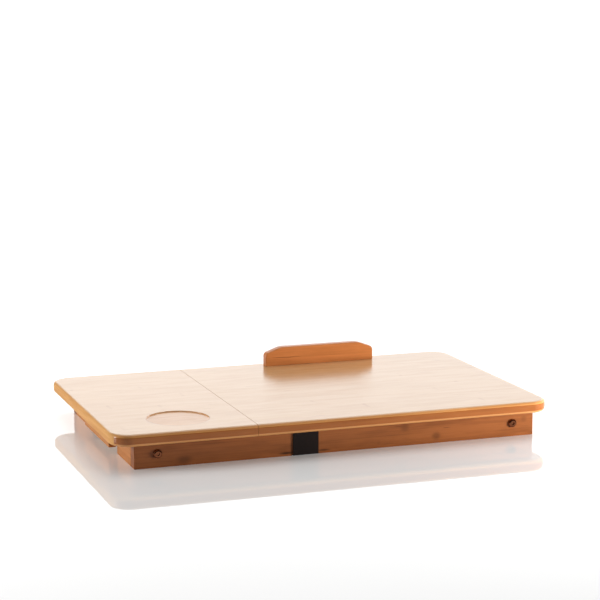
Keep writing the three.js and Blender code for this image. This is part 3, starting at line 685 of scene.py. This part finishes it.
# Leg bolts: low round heads with a hex socket, of bronzed steel, through rail and leg bar, each with a
# zinc-plated washer between the two and a zinc-plated nut with chamfered corners inside.
HEAD_HEIGHT = 0.0026
HEAD_RIM = 0.0008
HEAD_RADIUS = 0.0053
HEAD_FLAT = 0.0029
STEM_RADIUS = 0.003
STEM_CHAMFER = 0.0006
SOCKET_RADIUS = 0.0023
SOCKET_DEPTH = 0.0016
DOME_STEPS = 6
NUT_BORE = 0.0032
NUT_CHAMFER = 0.0007
METAL_ARRIS = 0.0002


def turned(name, profile, sides=48):
    """A turned piece along +Z from pairs of radius and height, closed flat at both ends."""
    (radius, start), (next_radius, end) = profile[:2]
    bpy.ops.object.select_all(action="DESELECT")
    bpy.ops.mesh.primitive_cone_add(
        vertices=sides, radius1=radius, radius2=next_radius,
        depth=end - start, location=(0, 0, (start + end) / 2),
    )
    piece = bpy.context.object
    piece.name = name
    bpy.ops.object.transform_apply(location=True, rotation=True, scale=True)
    bpy.ops.object.mode_set(mode="EDIT")
    bpy.ops.mesh.select_mode(type="FACE")
    bpy.ops.mesh.select_all(action="DESELECT")
    bpy.ops.object.mode_set(mode="OBJECT")
    for face in piece.data.polygons:
        face.select = same(face.center.z, end, 1e-7)
    bpy.ops.object.mode_set(mode="EDIT")
    for (radius, height), (next_radius, next_height) in zip(profile[1:], profile[2:]):
        share = next_radius / radius
        bpy.ops.mesh.extrude_region_move(TRANSFORM_OT_translate={"value": (0, 0, next_height - height)})
        bpy.ops.transform.resize(value=(share, share, 1), center_override=(0, 0, next_height))
    bpy.ops.object.mode_set(mode="OBJECT")
    return piece


def placed_copy(master, name, place, axis):
    """A copy, with its own mesh, of a piece modelled along +Z at the origin, put in place on its axis."""
    bpy.ops.object.select_all(action="DESELECT")
    master.select_set(True)
    bpy.context.view_layer.objects.active = master
    bpy.ops.object.duplicate()
    piece = bpy.context.object
    piece.name = name
    piece.location = place
    piece.rotation_euler = Vector(axis).to_track_quat("Z", "Y").to_euler()
    bpy.ops.object.transform_apply(location=True, rotation=True, scale=True)
    return piece


# Tool marks are 0.25 to 0.35 mm apart and 0.05 mm deep at most, and the tone wanders over twelve of them.
MOTTLE_GRAINS = 12
MARK_DEPTH = 0.00005
WORN_POLISH = 0.15


def metal(name, colour, shade, roughness, grain_mm):
    """A plated metal: its tone and polish wander a little, and a fine bump holds the tool marks."""
    material, tree = new_material(name)
    place = add_node(tree, "ShaderNodeTexCoord").outputs["Object"]
    mottle = add_node(tree, "ShaderNodeTexNoise", {
        "Vector": place, "Scale": 1000 / (MOTTLE_GRAINS * grain_mm), "Detail": 3.0,
    }).outputs["Fac"]
    marks = add_node(tree, "ShaderNodeTexNoise", {
        "Vector": place, "Scale": 1000 / grain_mm, "Detail": 2.0,
    }).outputs["Fac"]
    tone = add_node(tree, "ShaderNodeMix", {
        "Factor": mottle, "A": hex_colour(colour), "B": hex_colour(shade),
    }, data_type="RGBA")
    polish = add_node(tree, "ShaderNodeMapRange", {
        "Value": marks, "From Min": 0.3, "From Max": 0.7,
        "To Min": roughness, "To Max": roughness + WORN_POLISH,
    })
    bump = add_node(tree, "ShaderNodeBump", {"Height": marks, "Strength": 0.15, "Distance": MARK_DEPTH})
    shader = add_node(tree, "ShaderNodeBsdfPrincipled", {
        "Base Color": tone.outputs["Result"], "Metallic": 1.0, "Roughness": polish.outputs[0],
        "Normal": bump.outputs[0],
    })
    add_node(tree, "ShaderNodeOutputMaterial", {"Surface": shader.outputs[0]})
    return material


# Bronzed and polished steel: reddish brown, with small sharp lights on the domed heads.
bronzed_steel = metal("bronzed_steel", "#a86a48", "#704430", 0.1, 0.25)
# Zinc-plated steel: a cool grey, softly shiny and slightly mottled.
zinc_steel = metal("zinc_plated_steel", "#b4b6b2", "#94968f", 0.28, 0.3)

bolt_low, bolt_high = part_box("pivot_bolt_left_rear")
stem = bolt_high[1] - bolt_low[1] - HEAD_HEIGHT
dome = [
    (
        HEAD_FLAT + (HEAD_RADIUS - HEAD_FLAT) * math.cos(math.pi / 2 * step / DOME_STEPS),
        stem + HEAD_RIM + (HEAD_HEIGHT - HEAD_RIM) * math.sin(math.pi / 2 * step / DOME_STEPS),
    )
    for step in range(DOME_STEPS + 1)
]
bolt_master = turned("bolt", [
    (STEM_RADIUS - STEM_CHAMFER, 0), (STEM_RADIUS, STEM_CHAMFER), (STEM_RADIUS, stem),
    (HEAD_RADIUS, stem), *dome,
])
crown = stem + HEAD_HEIGHT
socket = rod("socket", SOCKET_RADIUS, (0, 0, crown - SOCKET_DEPTH), (0, 0, crown + SPARE), sides=6)
combine(bolt_master, socket)

washer_low, washer_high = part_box("pivot_washer_left_rear")
washer_radius = (washer_high[0] - washer_low[0]) / 2
washer_master = rod("washer", washer_radius, (0, 0, 0), (0, 0, washer_high[1] - washer_low[1]))
round_edges(washer_master, METAL_ARRIS, 2, lambda a, b: same(a.z, b.z))
drill(washer_master, BOLT_BORE, (0, 0, -SPARE), (0, 0, 2 * SPARE + washer_high[1] - washer_low[1]))

nut_low, nut_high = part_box("pivot_nut_left_rear")
nut_height = nut_high[1] - nut_low[1]
nut_radius = (nut_high[0] - nut_low[0]) / 2
nut_master = rod("nut", nut_radius, (0, 0, 0), (0, 0, nut_height), sides=6)
combine(nut_master, turned("cone", [
    (nut_radius - NUT_CHAMFER, 0), (nut_radius, NUT_CHAMFER / 2),
    (nut_radius, nut_height - NUT_CHAMFER / 2), (nut_radius - NUT_CHAMFER, nut_height),
]), "INTERSECT")
drill(nut_master, NUT_BORE, (0, 0, -SPARE), (0, 0, nut_height + SPARE))

for end in END_NAMES:
    for side, outward in (("front", -1), ("rear", 1)):
        inner_face = 0 if side == "rear" else 1
        for kind, master, finish in (
            ("bolt", bolt_master, bronzed_steel),
            ("washer", washer_master, zinc_steel),
            ("nut", nut_master, zinc_steel),
        ):
            node = f"pivot_{kind}_{end}_{side}"
            seat = middle(node)
            seat.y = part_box(node)[inner_face][1]
            fit(placed_copy(master, f"{node}_steel", seat, (0, outward, 0)), node, finish)
for master in (bolt_master, washer_master, nut_master):
    bpy.data.objects.remove(master, do_unlink=True)

# Butt hinges: stamped and rolled leaves on a pin with peened heads, all of brass-plated steel. The fixed
# leaf is screwed to the rear rail's outer face, and the moving leaf under the panel's overhang.
PLATE = 0.0012
KNUCKLE_RADIUS = 0.0043
PIN_BORE = 0.0021
PIN_RADIUS = 0.0018
PIN_HEAD = 0.0027
PIN_HEAD_HEIGHT = 0.0008
CENTRE_HALF = 0.0075
OUTER_HALF = 0.0176
HINGE_PLAY = 0.0004
LEAF_CORNER = 0.002
LEAF_ARRIS = 0.0002

# Brass-plated steel: a warm yellow that catches the light along the rolled knuckles.
brass = metal("brass_plated_steel", "#c9a25a", "#a8803e", 0.22, 0.35)


def along_axis(piece, radius, start_x, end_x, axis, operation="DIFFERENCE"):
    """Cuts or joins a round bar along the hinge's axis."""
    bar = rod("bar", radius, (start_x, axis.y, axis.z), (end_x, axis.y, axis.z))
    combine(piece, bar, operation)


for end in END_NAMES:
    axis = middle(f"hinge_{end}_pin")

    node = f"hinge_{end}_fixed_leaf"
    low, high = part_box(node)
    leaf = block(f"{node}_brass", low, (high[0], low[1] + PLATE, axis.z))
    round_edges(leaf, LEAF_CORNER, 4, lambda a, b: (
        same(a.x, b.x) and same(a.z, low[2]) and same(b.z, low[2])
    ))
    round_edges(leaf, LEAF_ARRIS, 2, lambda a, b: same(a.y, b.y))
    for side in (-1, 1):
        near = axis.x + side * (OUTER_HALF + HINGE_PLAY)
        far = axis.x + side * (high[0] - low[0])
        combine(leaf, block(
            "end", (min(near, far), low[1] - SPARE, axis.z - KNUCKLE_RADIUS),
            (max(near, far), high[1], high[2]),
        ))
    gap_half = CENTRE_HALF + HINGE_PLAY
    along_axis(leaf, KNUCKLE_RADIUS + HINGE_PLAY, axis.x - gap_half, axis.x + gap_half, axis)
    for side in (-1, 1):
        along_axis(
            leaf, KNUCKLE_RADIUS, axis.x + side * gap_half, axis.x + side * OUTER_HALF, axis, "UNION",
        )
    along_axis(leaf, PIN_BORE, low[0], high[0], axis)
    for number in (1, 2):
        screw = middle(f"hinge_{end}_rail_screw_{number}")
        near_face, far_face = low[1] - SPARE, low[1] + PLATE + SPARE
        drill(leaf, SCREW_BORE, (screw.x, near_face, screw.z), (screw.x, far_face, screw.z))
    fit(leaf, node, brass)

    node = f"hinge_{end}_moving_leaf"
    low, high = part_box(node)
    heel = axis.y - KNUCKLE_RADIUS + HINGE_PLAY * 2
    leaf = block(f"{node}_brass", (low[0], heel, high[2] - PLATE), high)
    round_edges(leaf, LEAF_ARRIS, 2)
    for side in (-1, 1):
        near = axis.x + side * CENTRE_HALF
        far = axis.x + side * (OUTER_HALF + HINGE_PLAY)
        combine(leaf, block(
            "room", (min(near, far), low[1] - SPARE, low[2]),
            (max(near, far), axis.y + KNUCKLE_RADIUS + HINGE_PLAY, high[2] + SPARE),
        ))
    along_axis(leaf, KNUCKLE_RADIUS, axis.x - CENTRE_HALF, axis.x + CENTRE_HALF, axis, "UNION")
    along_axis(leaf, PIN_BORE, low[0], high[0], axis)
    for number in (1, 2):
        screw = middle(f"hinge_{end}_panel_screw_{number}")
        below, above = high[2] - PLATE - SPARE, high[2] + SPARE
        drill(leaf, SCREW_BORE, (screw.x, screw.y, below), (screw.x, screw.y, above))
    fit(leaf, node, brass)

    node = f"hinge_{end}_pin"
    low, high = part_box(node)
    width = high[0] - low[0]
    pin = turned("pin", [
        (PIN_HEAD - LEAF_ARRIS, 0), (PIN_HEAD, LEAF_ARRIS),
        (PIN_HEAD, PIN_HEAD_HEIGHT), (PIN_RADIUS, PIN_HEAD_HEIGHT),
        (PIN_RADIUS, width - PIN_HEAD_HEIGHT), (PIN_HEAD, width - PIN_HEAD_HEIGHT),
        (PIN_HEAD, width - LEAF_ARRIS), (PIN_HEAD - LEAF_ARRIS, width),
    ])
    fit(placed_copy(pin, f"{node}_brass", (low[0], axis.y, axis.z), (1, 0, 0)), node, brass)
    bpy.data.objects.remove(pin, do_unlink=True)

# Hinge screws: small pan-head wood screws with a cross recess, of zinc-plated steel. Two hold each leaf
# to the rail, driven forwards, or to the panel, driven upwards.
SCREW_LENGTH = 0.008
SCREW_POINT = 0.0015
SCREW_RADIUS = 0.0013
SCREW_HEAD = 0.0024
SCREW_HEAD_TOP = 0.0019
SCREW_HEAD_HEIGHT = 0.0009
CROSS_HALF = 0.0014
CROSS_WIDTH = 0.00025
CROSS_DEPTH = 0.0006

head_top = SCREW_LENGTH + SCREW_HEAD_HEIGHT
screw_master = turned("screw", [
    (SCREW_RADIUS / 4, 0), (SCREW_RADIUS, SCREW_POINT), (SCREW_RADIUS, SCREW_LENGTH),
    (SCREW_HEAD, SCREW_LENGTH), (SCREW_HEAD, SCREW_LENGTH + SCREW_HEAD_HEIGHT / 3),
    (SCREW_HEAD_TOP, head_top),
], sides=32)
for half_x, half_y in ((CROSS_HALF, CROSS_WIDTH), (CROSS_WIDTH, CROSS_HALF)):
    slot_foot, slot_mouth = head_top - CROSS_DEPTH, head_top + SPARE
    combine(screw_master, block("cross", (-half_x, -half_y, slot_foot), (half_x, half_y, slot_mouth)))
for end in END_NAMES:
    for number in (1, 2):
        node = f"hinge_{end}_rail_screw_{number}"
        place = middle(node)
        place.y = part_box(node)[0][1]
        fit(placed_copy(screw_master, f"{node}_steel", place, (0, 1, 0)), node, zinc_steel)
        node = f"hinge_{end}_panel_screw_{number}"
        place = middle(node)
        place.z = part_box(node)[1][2]
        fit(placed_copy(screw_master, f"{node}_steel", place, (0, 0, -1)), node, zinc_steel)
bpy.data.objects.remove(screw_master, do_unlink=True)

# Stop ledge: a bar of pressed bamboo with long sloping shoulders and soft edges, on two plain dowels
# that are glued into it and plug into the tilting panel.
SHOULDER_HEIGHT = 0.017
SHOULDER_RUN = 0.022
SHOULDER_ROUND = 0.004
LEDGE_ROUND = 0.002
DOWEL_CHAMFER = 0.0006

# Its bamboo: orange brown and evenly coloured, with a soft shine along the top edge.
ledge_bamboo = bamboo("bamboo_ledge_lacquered", "X", 24, 12, "#cf8048", "#b16a37", "#6b3a1a", 0.3, 0.4)
low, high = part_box("ledge")
ledge = block("ledge_wood", low, high)
rise = high[2] - low[2] - SHOULDER_HEIGHT
for side, end_x in ((-1, low[0]), (1, high[0])):
    cut_away(ledge, (end_x, 0, low[2] + SHOULDER_HEIGHT), (side * rise, 0, SHOULDER_RUN))
round_edges(ledge, SHOULDER_ROUND, 5, lambda a, b: (
    same(a.z, b.z) and same(a.x, b.x) and a.z > low[2] + SPARE
))
round_edges(ledge, LEDGE_ROUND, 4, lambda a, b: same(a.y, b.y) and max(a.z, b.z) > low[2] + SPARE)
for end in END_NAMES:
    node = f"ledge_dowel_{end}"
    dowel_low, dowel_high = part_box(node)
    place = middle(node)
    mouth, bore_top = low[2] - SPARE, dowel_high[2] + BORE_END
    drill(ledge, DOWEL_BORE, (place.x, place.y, mouth), (place.x, place.y, bore_top))
    radius = (dowel_high[0] - dowel_low[0]) / 2
    height = dowel_high[2] - dowel_low[2]
    dowel = turned("dowel", [
        (radius - DOWEL_CHAMFER, 0), (radius, DOWEL_CHAMFER), (radius, height - DOWEL_CHAMFER),
        (radius - DOWEL_CHAMFER, height),
    ])
    fit(placed_copy(dowel, f"{node}_wood", (place.x, place.y, dowel_low[2]), (0, 0, 1)), node, board_bamboo)
    bpy.data.objects.remove(dowel, do_unlink=True)
fit(ledge, "ledge", ledge_bamboo)

# Prop: two bamboo arms that swing on a zinc-plated rod, held by two tapered blocks glued under the
# tilting panel, with a second rod across their feet that stands in the notches.
ARM_ROUND = 0.0037
ARM_CHAMFER = 0.003
ARM_ARRIS = 0.0006
ROD_BORE = 0.0028
FOOT_BORE = 0.0027
BRACKET_TAPER = 0.004
ROD_CHAMFER = 0.0004

pivot = middle("prop_pivot_rod")
foot = middle("prop_foot_rod")
for end in END_NAMES:
    node = f"prop_arm_{end}"
    low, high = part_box(node)
    arm = block(f"{node}_wood", low, high)
    for level, radius, steps in ((high[2], ARM_ROUND, 8), (low[2], ARM_CHAMFER, 1)):
        round_edges(arm, radius, steps, lambda a, b: (
            same(a.y, b.y) and same(a.z, level) and same(b.z, level)
        ))
    round_edges(arm, ARM_ARRIS, 2, lambda a, b: same(a.x, b.x))
    drill(arm, ROD_BORE, (low[0] - SPARE, pivot.y, pivot.z), (high[0] + SPARE, pivot.y, pivot.z))
    drill(arm, FOOT_BORE, (low[0] - SPARE, foot.y, foot.z), (high[0] + SPARE, foot.y, foot.z))
    fit(arm, node, board_bamboo)

    node = f"prop_bracket_{end}"
    low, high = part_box(node)
    bracket = block(f"{node}_wood", low, high)
    for side, edge_y in ((-1, low[1]), (1, high[1])):
        cut_away(bracket, (0, edge_y, high[2]), (0, side * (high[2] - low[2]), -BRACKET_TAPER))
    round_edges(bracket, ARM_ARRIS, 2)
    drill(bracket, ROD_BORE, (low[0] - SPARE, pivot.y, pivot.z), (high[0] + SPARE, pivot.y, pivot.z))
    fit(bracket, node, board_bamboo)

for node in ("prop_pivot_rod", "prop_foot_rod"):
    low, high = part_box(node)
    radius = (high[2] - low[2]) / 2
    width = high[0] - low[0]
    bar = turned("bar", [
        (radius - ROD_CHAMFER, 0), (radius, ROD_CHAMFER),
        (radius, width - ROD_CHAMFER), (radius - ROD_CHAMFER, width),
    ])
    place = middle(node)
    fit(placed_copy(bar, f"{node}_steel", (low[0], place.y, place.z), (1, 0, 0)), node, zinc_steel)
    bpy.data.objects.remove(bar, do_unlink=True)

# Drawer: an overlay front with rounded edges, two sides and a back of solid bamboo, and a floor of thin
# bamboo ply, all glued, sliding on the runners.
FRONT_ROUND = 0.0015
SIDE_ARRIS = 0.0005

# Bamboo ply: unlacquered, in 40 mm strips, pale and matt like dry wood.
ply_bamboo = bamboo("bamboo_ply_sanded", "X", 40, 3, "#d9b483", "#c89f6a", "#9a7040", 0.55, 0.3)
fit(eased_block("drawer_front", FRONT_ROUND, 4), "drawer_front", board_bamboo)
for node in ("drawer_side_front", "drawer_side_rear"):
    fit(eased_block(node, SIDE_ARRIS), node, rail_bamboo)
fit(eased_block("drawer_back", SIDE_ARRIS), "drawer_back", board_bamboo)
fit(eased_block("drawer_floor", SIDE_ARRIS / 2), "drawer_floor", ply_bamboo)

# Strap: a loop of woven black nylon webbing drawn tight round the front rail, in the shallow relief cut
# for it. The webbing bends in small rounds over the rail's four arrises.
WEBBING = 0.0011
STRAP_CORNER = 0.0014
RIB_MM = 1.6
PICK_MM = 1.1
YARN_LIFT = 0.0002

# Nylon webbing: ribs 1.6 mm wide crossed by picks every 1.1 mm, nearly black and dull as cloth.
webbing, tree = new_material("nylon_webbing_woven")
place = add_node(tree, "ShaderNodeTexCoord").outputs["Object"]
axes = add_node(tree, "ShaderNodeSeparateXYZ", {0: place})
run = add_node(tree, "ShaderNodeMath", {
    0: axes.outputs["Y"], 1: axes.outputs["Z"],
}, operation="ADD").outputs[0]
weave = 1.0
for value, pitch_mm in ((axes.outputs["X"], RIB_MM), (run, PICK_MM)):
    angle = add_node(tree, "ShaderNodeMath", {
        0: value, 1: 2000 * math.pi / pitch_mm,
    }, operation="MULTIPLY").outputs[0]
    wave = add_node(tree, "ShaderNodeMath", {0: angle}, operation="SINE").outputs[0]
    weave = add_node(tree, "ShaderNodeMath", {0: weave, 1: wave}, operation="MULTIPLY").outputs[0]
lift = add_node(tree, "ShaderNodeMapRange", {
    "Value": weave, "From Min": -1.0, "From Max": 1.0,
}).outputs[0]
yarn = add_node(tree, "ShaderNodeMix", {
    "Factor": lift, "A": hex_colour("#14100f"), "B": hex_colour("#2a2220"),
}, data_type="RGBA")
bump = add_node(tree, "ShaderNodeBump", {"Height": lift, "Strength": 0.6, "Distance": YARN_LIFT})
cloth = add_node(tree, "ShaderNodeBsdfPrincipled", {
    "Base Color": yarn.outputs["Result"], "Roughness": 0.85, "Specular IOR Level": 0.2,
    "Sheen Weight": 0.05, "Normal": bump.outputs[0],
})
add_node(tree, "ShaderNodeOutputMaterial", {"Surface": cloth.outputs[0]})

low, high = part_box("strap")
strap = block("strap_webbing", low, high)
round_edges(strap, STRAP_CORNER, 5, lambda a, b: same(a.y, b.y) and same(a.z, b.z))
inside = block(
    "inside", (low[0] - SPARE, low[1] + WEBBING, low[2] + WEBBING),
    (high[0] + SPARE, high[1] - WEBBING, high[2] - WEBBING),
)
round_edges(inside, STRAP_CORNER - WEBBING, 3, lambda a, b: same(a.y, b.y) and same(a.z, b.z))
combine(strap, inside)
fit(strap, "strap", webbing)

low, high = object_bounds()
